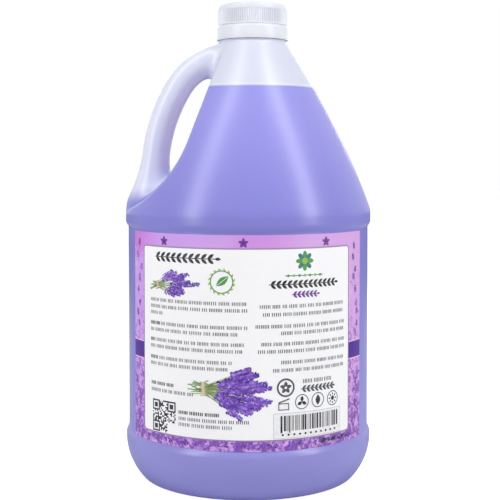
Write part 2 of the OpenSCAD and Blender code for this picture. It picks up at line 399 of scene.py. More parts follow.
def holdOnCrease(verts):
    # moves a rim onto the line where handle and jug meet
    p = np.array([v.co for v in verts]) / mm
    step = 0.02

    def both(q):
        return np.stack([wholeGap(q), jugGap(q) - handleGap(q)], axis=1)

    for _ in range(14):
        value = both(p)
        slope = np.stack([(both(p + d) - value) / step for d in np.eye(3) * step], axis=2)
        move = np.linalg.pinv(slope, rcond=0.15) @ value[:, :, None]
        p -= np.clip(move[:, :, 0], -1.5, 1.5)
    for vert, place in zip(verts, p):
        vert.co = place * mm


def handleRing(index, count):
    # one even oval round the handle, from its back over the +y side
    power = jug["handleOval"]
    t = np.linspace(0, math.tau, 721)
    u = -halfDepths[index] * np.sign(np.cos(t)) * np.abs(np.cos(t)) ** power
    v = halfWidths[index] * np.sign(np.sin(t)) * np.abs(np.sin(t)) ** power
    length = np.concatenate(([0], np.cumsum(np.hypot(np.diff(u), np.diff(v)))))
    even = np.linspace(0, length[-1], count, endpoint=False)
    u, v = np.interp(even, length, u), np.interp(even, length, v)
    flat = middles[index] + u[:, None] * ways[index]
    return np.stack([flat[:, 0], v, np.minimum(flat[:, 1], jug["handleTop"])], axis=1)


def jugRows():
    # outside from the push-up to the land, then the inside back down
    wall = jug["wall"]
    bellyX = jug["bulgeR"] - jug["bellyR"]
    reach = jug["bellyR"] - jug["cornerR"]
    drop = jug["bellyZ"] - jug["cornerR"]
    cornerX = bellyX + math.sqrt(reach ** 2 - drop ** 2)
    cornerEnd = -math.degrees(math.atan2(drop, cornerX - bellyX))
    ringR = cornerX - jug["ringInner"]
    run = jug["pushUp"] / math.tan(math.radians(jug["pushUpSlope"]))
    edgeX = jug["bulgeR"] - jug["edgeR"]
    edgeEnd = math.degrees(math.acos((jug["panelR"] - edgeX) / jug["edgeR"]))
    lowBand = jug["bellyZ"] + jug["baseBandH"]

    def body(e):
        rows = [(0, jug["pushUp"] + e)]
        rows += [(r, jug["pushUp"] + e) for r in (8, 16, 24, 32, 40)]
        rows += arc(ringR - run - 2, jug["pushUp"] - 2 + e, 2, 90, 40, 4)
        rows += arc(ringR + 1, 1.2 + e, 1.2, 220, 270, 3)
        rows += arc(cornerX, jug["cornerR"], jug["cornerR"] - e, -90, cornerEnd, 7)
        rows += arc(bellyX, jug["bellyZ"], jug["bellyR"] - e, cornerEnd, 0, 22)[1:]
        rows += arc(edgeX, lowBand, jug["edgeR"] - e, 0, edgeEnd, 7)
        low = lowBand + jug["edgeR"] * math.sin(math.radians(edgeEnd))
        high = jug["shoulderZ"] - jug["edgeR"] * math.sin(math.radians(edgeEnd))
        rows += [(jug["panelR"] - e, z) for z in np.linspace(low + 0.8, high - 0.8, 22)]
        rows += arc(edgeX, jug["shoulderZ"], jug["edgeR"] - e, -edgeEnd, 0, 7)
        return rows

    low0, low1, lowRows, _ = jug["footPatch"]
    top0, top1, topRows, _ = jug["topPatch"]
    heights = list(np.linspace(coneFoot, low0, 8)[:-1])
    heights += list(np.linspace(low0, low1, lowRows + 1)[:-1])
    heights += list(np.linspace(low1, top0, 34)[:-1])
    heights += list(np.linspace(top0, top1, topRows + 1))
    outside = body(0) + [(float(coneRadius(z)), z) for z in heights]
    outside += arc(jug["ledgeR"] - 0.9, jug["ledgeZ"] - 0.9, 0.9, 0, 90, 4)
    outside += [(jug["collarR"], jug["ledgeZ"]), (jug["collarR"], jug["collarZ"])]
    outside += arc(jug["neckR"] + 0.6, jug["collarZ"] + 0.6, 0.6, -90, -180, 3)
    half = jug["beadH"] / 2
    outside += [(jug["neckR"], jug["beadZ"] - 0.4)]
    outside += arc(jug["beadR"] - half, jug["beadZ"] + half, half, -90, 90, 6)
    outside += [(jug["neckR"], jug["beadZ"] + jug["beadH"] + 0.6)]
    outside += [(jug["neckR"], z) for z in (285, 288, 291, 294)]
    outside += arc(jug["neckR"] - 0.5, jug["landZ"] - 0.5, 0.5, 0, 90, 3)
    outside += arc(jug["mouthR"] + 0.5, jug["landZ"] - 0.5, 0.5, 90, 180, 3)
    inside = [(jug["mouthR"], z) for z in (293, 288, 283, 278, 274.5)]
    cone = [(r, z) for r, z in coneOutline(wall) if r > jug["mouthR"] + 1.5][::-1]
    inside += [(r, z) for r, z in cone[::3] if z < 272.5]
    inside += [(r, z) for r, z in body(wall)[::-1] if z < coneFoot - 1][::2]
    inside[-1] = (0, jug["pushUp"] + wall)
    return outside, inside


def cutPatch(bm, low, high, rows, halfColumns, upwards):
    # opens the skin where the handle joins and returns the rim, round from the handle's back
    known = {e for e in bm.edges if e.is_boundary}
    layer = bm.verts.layers.float["inset"]
    patch = []
    for face in bm.faces:
        c = face.calc_center_median() / mm
        around = math.pi - abs(math.atan2(c.y, c.x))
        if low < c.z < high and around < halfColumns * math.tau / jug["columns"]:
            if all(v[layer] < 0.5 for v in face.verts):
                patch.append(face)
    bmesh.ops.delete(bm, geom=patch, context="FACES")
    edges = [e for e in bm.edges if e.is_boundary and e not in known]
    verts = list({v for e in edges for v in e.verts})
    middle = (low + high) / 2 * mm
    wide = max(abs(v.co.y) for v in verts)
    tall = (high - low) / 2 * mm * (1 if upwards else -1)
    verts.sort(key=lambda v: math.atan2(v.co.y / wide, (v.co.z - middle) / tall)
               % (math.tau - 1e-6))
    return verts, edges


def addHandle(bm, top, edges, foot):
    topPlaces = np.array([v.co for v in top]) / mm
    footPlaces = np.array([v.co for v in foot]) / mm
    rings = [handleRing(i, len(top)) for i in range(len(slopes)) if 33 <= slopes[i] <= 88.5][::7]
    targets = [topPlaces + (rings[0] - topPlaces) * i / 6 for i in range(1, 6)] + rings
    targets += [rings[-1] + (footPlaces - rings[-1]) * i / 9 for i in range(1, 10)]
    loop = top
    for target in targets:
        made = bmesh.ops.extrude_edge_only(bm, edges=edges)["geom"]
        fresh = {v for v in made if isinstance(v, bmesh.types.BMVert)}
        edges = [e for e in made if isinstance(e, bmesh.types.BMEdge) and fresh.issuperset(e.verts)]
        loop = [next(e.other_vert(v) for e in v.link_edges if e.other_vert(v) in fresh)
                for v in loop]
        for vert, place in zip(loop, target):
            vert.co = Vector(place) * mm
    bmesh.ops.remove_doubles(bm, verts=loop + foot, dist=1e-6)


def buildJug():
    outside, inside = jugRows()
    insets = [0.0] * len(outside) + [jug["wall"]] * len(inside)
    bm = lathe(outside + inside, jug["columns"], insets)
    layer = bm.verts.layers.float["inset"]
    top, topEdges = cutPatch(bm, *jug["topPatch"], True)
    foot, _ = cutPatch(bm, *jug["footPatch"], False)
    for vert in bm.verts:                        # lean to the neck, then the finger recess
        x, y, z = vert.co / mm
        x += float(shiftAt(z))
        if coneFoot - 2 < z < jug["ledgeZ"] - 1.3:
            limit = float(recessX(z, vert[layer])) + vert[layer]
            if x < limit + jug["recessRound"]:
                x = float(softMax(x, limit, jug["recessRound"]))
        vert.co.x = x * mm
    addHandle(bm, top, topEdges, foot)
    print("jug skin", len(bm.verts))
    rim = [v for v in top + foot if v.is_valid and v.co.z > jug["creaseAbove"] * mm]
    holdOnCrease(rim)
    held = set(rim)
    around = [v for v in bm.verts if v[layer] < 0.5 and v.co.x < -12 * mm
              and coneFoot * mm < v.co.z < (jug["ledgeZ"] - 1.2) * mm and v not in held]
    for turn in range(jug["smoothRounds"]):
        gaps = handleGap(np.array([v.co for v in around]) / mm)
        soft = [v for v, gap in zip(around, gaps) if abs(gap) < jug["smoothWithin"]]
        bmesh.ops.smooth_vert(bm, verts=soft, factor=0.5, use_axis_x=True, use_axis_y=True,
                              use_axis_z=True)
        settle(soft, 6 if turn == jug["smoothRounds"] - 1 else 2)
    for vert in bm.verts:                        # the fillets stay inside the bulge
        radius = math.hypot(vert.co.x, vert.co.y) / mm
        if vert.co.z < 200 * mm and radius > jug["bulgeR"] - jug["slack"]:
            pullIn(vert, (jug["bulgeR"] - jug["slack"]) / radius)
    bmesh.ops.recalc_face_normals(bm, faces=bm.faces)
    return bm


skinLook = {
    "oil": linear(130, 128, 209),
    "oilEdgeShade": linear(84, 84, 204),
    "oilLitAbove": linear(151, 148, 229),
    "oilFloorBounce": linear(144, 142, 213),
    "empty": linear(214, 218, 236),
    "emptyEdgeShade": linear(176, 180, 204),
    "line": linear(232, 234, 250),
    "handle": linear(224, 227, 246),
    "fingerSideLight": linear(254, 246, 242),
    "fingerGlow": (0.085, 0.078, 0.034),
    "footGlow": (0.12, 0.13, 0.12),
    "rough": 0.29,
    "handleFrom": (171, 185),                # heights over which each look fades in
    "fingerFrom": (186, 204),
    "footFrom": (176, 186),
    "footTo": (190, 204),
}


def jugMaterial():
    skin = Shader("milkyPolyethylene")
    x, y, z = skin.xyz()
    flat, swept, above = recessParts(x, z)
    outside = swept + above.between(-0.5, 0.5) * (flat - swept)     # how far out of the recess
    onHandle = outside.between(0.5, 2.2) * z.between(*skinLook["handleFrom"])
    # painted edge shade: this facing mask darkens and deepens the colour toward the silhouettes
    facing = skin.node("ShaderNodeLayerWeight", None, {"Blend": 0.32}, output=1)
    rim = facing.between(0.35, 1.0)
    # painted light: the oil colour is lighter low down, standing in for light bounced off the
    # floor, and lighter again on the shoulder and cone, which face the lamps above
    wave = z + (skin.noise(18, 3) - 0.5) * 1.6
    oil = skin.mix(wave.between(20, 90), skinLook["oilFloorBounce"], skinLook["oil"])
    oil = skin.mix(wave.between(150, 240), oil, skinLook["oilLitAbove"])
    # painted edge shade on the oil
    oil = skin.mix(rim * 0.75, oil, skinLook["oilEdgeShade"])
    # painted edge shade on the empty neck
    empty = skin.mix(rim * 0.7, skinLook["empty"], skinLook["emptyEdgeShade"])
    colour = skin.mix(z.between(jug["fillZ"] - 0.9, jug["fillZ"] + 0.3), oil, empty)
    band = (1 - abs(z - jug["fillZ"] - 0.9).between(0.2, 1.1)) * 0.35
    colour = skin.mix(band, colour, skinLook["line"])
    # painted light: the handle's finger side, which lies in shade, is made lighter as if lit
    # through the thin wall
    toFinger = skin.facing()[0].between(0.15, 0.95) * z.between(*skinLook["fingerFrom"])
    handle = skin.mix(toFinger, skinLook["handle"], skinLook["fingerSideLight"])
    # painted edge shade along the handle's outer side
    handle = skin.mix(rim * (1 - toFinger), handle, skinLook["emptyEdgeShade"])
    colour = skin.mix(onHandle, colour, handle)
    seam = 1 - abs(y).between(0.12, 0.42)
    colour = skin.mix(seam * 0.25, colour, skinLook["line"])
    # painted glow on the finger side and the foot, standing in for light let through the thin wall
    glow = skin.mix(toFinger * onHandle, (0, 0, 0), skinLook["fingerGlow"])
    nearFoot = outside.between(12, 2) * (1 - z.between(*skinLook["footTo"]))
    nearFoot *= z.between(*skinLook["footFrom"])
    glow = skin.mix(nearFoot * onHandle, glow, skinLook["footGlow"])
    skin.set(Base_Color=colour, Normal=skin.bump(seam * 0.12, mm), Roughness=skinLook["rough"],
             Emission_Color=glow, Emission_Strength=1.0, Subsurface_Weight=0.12,
             Subsurface_Radius=(0.9, 0.8, 1.0), Subsurface_Scale=0.003, IOR=1.5)
    return skin.material


body = makeObject("jug", buildJug(), jugMaterial(), 85)
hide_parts("bottle")
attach(body, "bottle")
print("jug done")


thread = {
    "pitch": 4.2333,
    "neckFrom": 285.2,          # height of the first neck ridge's start
    "neckTurns": 1.75,
    "capTurns": 1.6,
    "stepsPerTurn": 72,
    "rise": 1.2,
    "halfFoot": 0.85,
    "halfTop": 0.4,
}


def threadRidge(name, footR, topR, low, turns, material):
    # one trapezoid carried up a right-handed helix, with run-outs at both ends
    bm = bmesh.new()
    out = 1 if topR > footR else -1
    profile = ((footR - 0.2 * out, -thread["halfFoot"]), (footR, -thread["halfFoot"]),
               (topR, -thread["halfTop"]), (topR, thread["halfTop"]),
               (footR, thread["halfFoot"]), (footR - 0.2 * out, thread["halfFoot"]))
    verts = [bm.verts.new((r * mm, 0, (low + z) * mm)) for r, z in profile]
    edges = [bm.edges.new((verts[i], verts[(i + 1) % len(verts)])) for i in range(len(verts))]
    steps = round(turns * thread["stepsPerTurn"])
    bmesh.ops.spin(bm, geom=verts + edges, cent=(0, 0, 0), axis=(0, 0, 1),
                   dvec=(0, 0, thread["pitch"] / thread["stepsPerTurn"] * mm),
                   angle=math.tau * steps / thread["stepsPerTurn"], steps=steps,
                   use_merge=False, use_duplicate=False)
    bmesh.ops.holes_fill(bm, edges=[e for e in bm.edges if e.is_boundary], sides=6)
    top = low + thread["pitch"] * steps / thread["stepsPerTurn"]
    for vert in bm.verts:
        radius = math.hypot(vert.co.x, vert.co.y) / mm
        lift = vert.co.z / mm
        ends = min(1.0, max(0.0, min(lift - low + 0.8, top + 0.8 - lift) / 1.3))
        if (radius - footR) * out > 0:
            pullIn(vert, (footR + (radius - footR) * ends) / radius)
    bmesh.ops.translate(bm, verts=bm.verts, vec=(jug["neckShift"] * mm, 0, 0))
    bmesh.ops.recalc_face_normals(bm, faces=bm.faces)
    return makeObject(name, bm, material, 30)


neckThread = threadRidge("neckThread", jug["neckR"], jug["neckR"] + thread["rise"],
                         thread["neckFrom"], thread["neckTurns"], body.data.materials[0])
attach(neckThread, "bottle")


closure = {
    "capR": 22.05,
    "skirtZ": 285.32,
    "topZ": 299.0,
    "rimZ": 295.2,
    "edgeR": 2.4,
    "boreR": 19.5,
    "ceilingZ": 297.5,
    "ribs": 100,
    "ribDepth": 0.5,
    "bandR": 22.9,
    "bandZ": 276.2,
    "bandTopZ": 285.2,
    "bandWall": 1.4,
    "bevel": 1.4,
    "catchR": 18.4,
    "catchT": 1.4,
    "stubs": 12,
    "stubWidth": 1.0,
    "white": linear(229, 231, 240),
    "shade": linear(202, 205, 222),
}


def closureMaterial():
    # white polypropylene: faint mould grain, and painted shade that makes the grooves between the
    # ribs greyer
    plastic = Shader("whitePolypropylene")
    x, y, z = plastic.xyz()
    radius = ((x - jug["neckShift"]) ** 2 + y ** 2) ** 0.5
    inGroove = 1 - radius.between(closure["capR"] - closure["ribDepth"], closure["capR"] - 0.08)
    onRibs = z.between(286.0, 286.6) * (1 - z.between(294.6, 295.2)) * radius.between(21, 21.3)
    dust = plastic.noise(60, 3, 0.6).between(0.42, 0.75)
    # painted shade in the grooves between the ribs
    colour = plastic.mix(inGroove * onRibs * 0.4, closure["white"], closure["shade"])
    colour = plastic.mix(dust * 0.12, colour, closure["shade"])
    grain = plastic.noise(1100) * 0.006
    plastic.set(Base_Color=colour, Normal=plastic.bump(grain, mm),
                Roughness=0.34 + dust * 0.08, Subsurface_Weight=0.08,
                Subsurface_Radius=(1.0, 1.0, 1.0), Subsurface_Scale=0.002, IOR=1.49)
    return plastic.material


def buildCap():
    cap = closure
    bottom, rim, top, out = cap["skirtZ"], cap["rimZ"], cap["topZ"], cap["capR"]
    points = [(0, top - 0.25), (1.2, top - 0.25), (1.5, top), (8, top), (15.8, top),
              (16.1, top - 0.12), (16.9, top - 0.12), (17.2, top)]
    points += arc(out - cap["edgeR"], top - cap["edgeR"], cap["edgeR"], 90, 0, 8)
    points += [(out, rim + 0.3), (out, rim), (out, rim - 0.25), (out, rim - 0.6)]
    points += [(out, z) for z in np.linspace(rim - 1.2, bottom + 1.2, 7)]
    points += [(out, bottom + 0.35), (out - 0.05, bottom + 0.12), (out - 0.2, bottom),
               (cap["boreR"] + 0.5, bottom), (cap["boreR"], bottom + 0.5)]
    points += [(cap["boreR"], z) for z in np.linspace(bottom + 2, cap["ceilingZ"] - 0.6, 4)]
    points += [(cap["boreR"] - 0.5, cap["ceilingZ"]), (12, cap["ceilingZ"]), (0, cap["ceilingZ"])]
    bm = lathe(points, cap["ribs"] * 4)
    for vert in bm.verts:
        radius = math.hypot(vert.co.x, vert.co.y) / mm
        z = vert.co.z / mm
        if radius > out - 0.2 and z < rim:
            turn = math.atan2(vert.co.y, vert.co.x) * cap["ribs"]
            ends = smoothStep(z, bottom + 0.2, bottom + 0.8) * (1 - smoothStep(z, rim - 0.7, rim))
            pullIn(vert, 1 - cap["ribDepth"] * ends * (0.5 - 0.5 * math.cos(turn)) / radius)
    bmesh.ops.translate(bm, verts=bm.verts, vec=(jug["neckShift"] * mm, 0, 0))
    return bm


def buildBand():
    band = closure
    out, low, high = band["bandR"], band["bandZ"], band["bandTopZ"]
    bore = out - band["bandWall"]
    points = [(bore, high), (bore, low + 5), (bore, low + band["catchT"] + 0.4),
              (bore - 0.4, low + band["catchT"]), (band["catchR"] + 0.3, low + band["catchT"]),
              (band["catchR"], low + band["catchT"] - 0.3), (band["catchR"], low + 0.3),
              (band["catchR"] + 0.3, low), (out - 0.4, low), (out - 0.1, low + 0.12),
              (out, low + 0.4), (out, low + 3), (out, high - band["bevel"] - 0.3),
              (out - 0.04, high - band["bevel"]),
              (band["capR"] + 0.1, high - 0.12), (band["capR"] - 0.15, high), (bore, high)]
    bm = lathe(points, 160)
    for i in range(band["stubs"]):
        # what is left of a broken bridge, with a ragged top
        made = bmesh.ops.create_cube(bm, size=1.0)["verts"]
        turn = math.tau * i / band["stubs"]
        for vert in made:
            rise = 0.02 + 0.07 * random.random() if vert.co.z > 0 else -1.2
            reach = bore - 0.9 if vert.co.x < 0 else bore + 0.3
            side = vert.co.y * band["stubWidth"] * (0.85 if vert.co.z > 0 else 1)
            vert.co = Vector((reach * math.cos(turn) - side * math.sin(turn),
                              reach * math.sin(turn) + side * math.cos(turn), high + rise)) * mm
    bmesh.ops.translate(bm, verts=bm.verts, vec=(jug["neckShift"] * mm, 0, 0))
    bmesh.ops.recalc_face_normals(bm, faces=bm.faces)
    return bm


random.seed(7)
whitePlastic = closureMaterial()
cap = makeObject("capShell", buildCap(), whitePlastic, 35)
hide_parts("cap")
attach(cap, "cap")
capThread = threadRidge("capThread", closure["boreR"], closure["boreR"] - thread["rise"],
                        thread["neckFrom"] + thread["pitch"] / 2, thread["capTurns"], whitePlastic)
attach(capThread, "cap")
band = makeObject("tamperBand", buildBand(), whitePlastic, 35)
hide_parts("tamper_ring")
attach(band, "tamper_ring")


def dressNodes():
    # the foam liner and the oil keep their solids
    foam = Shader("foamedLiner")
    cells = foam.node("ShaderNodeTexVoronoi", None, {"Vector": foam.coords(), "Scale": 1600})
    foam.set(Base_Color=foam.mix(cells.between(0.1, 0.7) * 0.3, linear(240, 240, 240),
                                 linear(212, 213, 216)),
             Normal=foam.bump(cells, 0.03 * mm), Roughness=0.62)
    oil = Shader("lavenderOil")
    swirl = oil.noise(25, 3)
    tint = oil.mix(swirl.between(0.35, 0.7), linear(140, 128, 222), linear(158, 148, 232))
    oil.set(Base_Color=tint, Roughness=0.05 + swirl * 0.04, IOR=1.46)
    for name, shader in (("cap_liner", foam), ("oil_fill", oil)):
        nodes[name].data.materials.clear()
        nodes[name].data.materials.append(shader.material)


dressNodes()
print("closure done")


wrap = {
    "bareR": 76.35,
    "thick": 0.15,
    "reach": (-65.0, 63.4),     # degrees to the left and right of the front
    "low": 31.38,
    "high": 157.22,
    "panel": (-73.2, 69.4, 38.0, 149.0),      # left, right, bottom, top in millimetres
    "corner": 2.2,
    "stripe": (80.8, 90.6),
    "lilac": linear(203, 156, 238),
    "pink": linear(214, 164, 228),
    "rose": linear(206, 116, 216),
    "pale": linear(228, 186, 234),
    "violet": linear(168, 108, 206),
    "deep": linear(112, 54, 170),
    "stripeInk": linear(70, 16, 144),
    "paper": linear(250, 250, 252),
    "edge": linear(150, 126, 164),
}


def labelMaterial():
    # print of the wrap label: flowery border, violet tab on each side, pale text panel
    film = Shader("printedFilm")
    x, y, z = film.xyz()
    radius = wrap["bareR"] + wrap["thick"]
    u = x.calc("ARCTAN2", x, y * -1) * radius
    left, right, low, high = wrap["panel"]
    ground = film.mix(u.between(-75, 80), wrap["lilac"], wrap["pink"])
    ground = film.mix((film.noise(45) - 0.35) * 0.6, ground, wrap["pale"])
    warm = (1 - u.between(-84, -52)) * 0.8 + (1 - abs(u - 8).between(4, 26)) * 0.35
    ground = film.mix(warm * z.between(138, 150), ground, wrap["rose"])
    down = 1 - z.between(42, 146)                  # the flowers thicken downwards
    flat = z.between(146, 150)
    fine = film.noise(520, 3, 0.6)
    broad = film.noise(190, 3, 0.55)
    petals = (fine + (down - 0.5) * 0.16).between(0.50, 0.60) * (1 - flat)
    dark = (broad * 0.6 + fine * 0.4 + (down - 0.5) * 0.14).between(0.53, 0.60) * (1 - flat)
    light = (film.noise(330) - down * 0.02).between(0.56, 0.66) * (1 - flat)
    thick = down * 0.6 + 0.4
    ground = film.mix(petals * thick * 0.7, ground, wrap["violet"])
    ground = film.mix(light * 0.6, ground, wrap["pale"])
    ground = film.mix(dark * thick * 0.8, ground, wrap["deep"])
    tabLow, tabHigh = wrap["stripe"]
    tab = z.between(tabLow - 0.15, tabLow + 0.15) * (1 - z.between(tabHigh - 0.15, tabHigh + 0.15))
    line = z.between(tabLow - 0.9, tabLow - 0.6) * (1 - z.between(tabHigh + 0.6, tabHigh + 0.9))
    ground = film.mix(line, ground, wrap["pale"])
    ground = film.mix(tab, ground, wrap["stripeInk"])
    halfU, halfZ = (right - left) / 2 - wrap["corner"], (high - low) / 2 - wrap["corner"]
    du = u.calc("MAXIMUM", abs(u - (left + right) / 2) - halfU, 0)
    dz = z.calc("MAXIMUM", abs(z - (low + high) / 2) - halfZ, 0)
    away = (du ** 2 + dz ** 2) ** 0.5 - wrap["corner"]
    colour = film.mix(1 - away.between(0.1, 1.1), ground, wrap["edge"])
    fibre = film.noise(160, 3, 0.6) * 0.10
    colour = film.mix(1 - away.between(-0.35, 0.0), colour,
                      film.mix(fibre, wrap["paper"], linear(226, 226, 232)))
    film.set(Base_Color=colour, Roughness=0.36 + fine * 0.08,
             Normal=film.bump(film.noise(30) + film.noise(700) * 0.06, 0.05 * mm),
             IOR=1.45)
    return film.material


def bendRound(bm, radius):
    # the flat print (x along the label, z up, y out) goes round the jug
    for vert in bm.verts:
        out = radius - vert.co.y / mm
        turn = vert.co.x / mm / (wrap["bareR"] + wrap["thick"])
        vert.co = Vector((out * math.sin(turn), -out * math.cos(turn), vert.co.z / mm)) * mm


def buildSheet():
    bm = bmesh.new()
    bmesh.ops.create_grid(bm, x_segments=130, y_segments=16, size=0.5)
    left, right = [math.radians(a) * (wrap["bareR"] + wrap["thick"]) for a in wrap["reach"]]
    for vert in bm.verts:
        vert.co = Vector((left + (vert.co.x + 0.5) * (right - left), 0,
                          wrap["low"] + (vert.co.y + 0.5) * (wrap["high"] - wrap["low"]))) * mm
    bendRound(bm, wrap["bareR"] + wrap["thick"])
    for face in bm.faces:
        face.normal_update()
        if face.normal.dot(face.calc_center_median() * Vector((1, 1, 0))) < 0:
            face.normal_flip()
    bmesh.ops.solidify(bm, geom=bm.faces[:], thickness=wrap["thick"] * mm)
    bmesh.ops.recalc_face_normals(bm, faces=bm.faces)
    return bm


sheet = makeObject("labelSheet", buildSheet(), labelMaterial(), 30)
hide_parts("label")
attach(sheet, "bottle")


class Print:
    # flat inks on the label, placed in millimetres: u along the label, z up
    def __init__(self):
        self.bm = bmesh.new()
        self.ink = self.bm.loops.layers.float_color.new("ink")

    def place(self, u, z, width, height, turn, level):
        u *= 0.974 if u > 0 else 1               # the right half is printed a little narrower
        spot = Matrix.Translation((u * mm, -level * 0.02 * mm, z * mm))
        stand = Matrix.Rotation(math.pi / 2, 4, "X")
        return spot @ stand @ Matrix.Rotation(math.radians(turn), 4, "Z") \
            @ Matrix.Diagonal((width * mm, height * mm, 1, 1))

    def colour(self, verts, ink):
        for face in {f for v in verts for f in v.link_faces}:
            for loop in face.loops:
                loop[self.ink] = (*ink, 1)

    def blob(self, u, z, width, height, turn, ink, level=1, sides=8):
        made = bmesh.ops.create_circle(self.bm, cap_ends=True, segments=sides, radius=0.5,
                                       matrix=self.place(u, z, width, height, turn, level))
        self.colour(made["verts"], ink)

    def bar(self, u, z, width, height, turn, ink, level=1):
        made = bmesh.ops.create_grid(self.bm, x_segments=1, y_segments=1, size=0.5,
                                     matrix=self.place(u, z, width, height, turn, level))
        self.colour(made["verts"], ink)

    def leaf(self, u, z, length, width, turn, ink, level=1):
        # pointed at both ends, growing from (u, z)
        a = math.radians(turn)
        where = self.place(u + math.cos(a) * length / 2, z + math.sin(a) * length / 2,
                           length, width, turn, level)
        made = bmesh.ops.create_circle(self.bm, cap_ends=True, segments=14, radius=0.5)["verts"]
        for vert in made:
            vert.co.y *= math.sqrt(max(0.0, 1 - abs(vert.co.x * 2) ** 1.5))
        bmesh.ops.transform(self.bm, matrix=where, verts=made)
        self.colour(made, ink)

    def ring(self, u, z, width, height, thick, ink):
        loops = []
        turn = Matrix.Rotation(math.radians(6), 4, "Z")
        for more in (thick, -thick):
            where = self.place(u, z, width + more, height + more, 0, 1) @ turn
            made = bmesh.ops.create_circle(self.bm, segments=30, radius=0.5, matrix=where)
            loops += made["verts"]
        edges = list({e for v in loops for e in v.link_edges})
        bmesh.ops.bridge_loops(self.bm, edges=edges)
        self.colour(loops, ink)


inks = {
    "text": linear(74, 74, 82),
    "bold": linear(28, 28, 34),
    "grey": linear(168, 168, 178),
    "stem": linear(122, 146, 92),
    "stemPale": linear(168, 186, 128),
    "tie": linear(222, 200, 160),
    "violets": (linear(58, 22, 120), linear(86, 42, 156), linear(112, 66, 186),
                linear(146, 104, 212), linear(178, 142, 226)),
    "green": linear(72, 150, 66),
    "greenPale": linear(150, 190, 60),
    "teal": linear(24, 120, 122),
    "purple": linear(112, 44, 150),
    "white": linear(244, 244, 246),
    "paper": wrap["paper"],
}


def tickRow(paper, start, end, z, height, ink, bold=0, ragged=0.0):
    # upright ticks in short groups: a generic texture where small print would be
    u = start
    end -= ragged * random.random() * (end - start)
    count = 0
    while u < end - 1.5:
        stop = min(u + random.uniform(2.8, 9.0), end)
        heavy = count < bold
        while u < stop:
            paper.bar(u + 0.3, z, 0.66 if heavy else 0.5, height * 0.64, 0,
                      inks["bold"] if heavy else ink, 2)
            u += random.uniform(0.95, 1.3)
        u += 0.9
        count += 1


def leafRow(paper, start, end, z, size, ink):
    # a straight twig with a pair of leaves every few millimetres
    paper.bar((start + end) / 2, z, end - start, 0.5, 0, ink)
    u = start + 0.6
    while u < end - size * 0.5:
        for side in (-1, 1):
            paper.leaf(u, z, size, size * 0.42, side * 38, ink, 2)
        u += size * 0.86
    paper.leaf(end - 0.5, z, size * 0.8, size * 0.4, 0, ink, 2)


def sprig(paper, u, z, length, turn, heads, level=2, size=1.0, headLength=None):
    # one stem of lavender: a bar, then whorls of buds that taper to the tip
    a = math.radians(turn)
    headLength = min(headLength or length * 0.5, length * 0.8)
    stalk = length - headLength * 0.6
    paper.bar(u + math.cos(a) * stalk / 2, z + math.sin(a) * stalk / 2, stalk, 0.4 * size, turn,
              random.choice((inks["stem"], inks["stemPale"])), level - 1)
    shade = random.choice((0, 0, 1))
    for i in range(heads):
        way = length - headLength * (1 - i / heads)
        spread = size * (1.45 - 0.9 * i / heads)
        for side in (-1, 0, 1):
            bend = a + math.pi / 2
            at = way + random.uniform(-0.4, 0.4)
            off = side * spread * random.uniform(0.6, 1.1)
            tone = inks["violets"][min(4, shade + random.choice((0, 1, 2) if side else (1, 2, 3)))]
            paper.blob(u + math.cos(a) * at + math.cos(bend) * off,
                       z + math.sin(a) * at + math.sin(bend) * off,
                       size * random.uniform(1.4, 2.0), size * random.uniform(0.9, 1.3),
                       turn + side * 35 + random.uniform(-20, 20), tone, level + (side == 0), 6)


def blossom(paper, u, z, size, ink, heart, level=1):
    for i in range(5):
        paper.leaf(u, z, size / 2, size * 0.30, 90 + 72 * i, ink, level)
    paper.blob(u, z, size * 0.22, size * 0.22, 0, heart, level + 1)


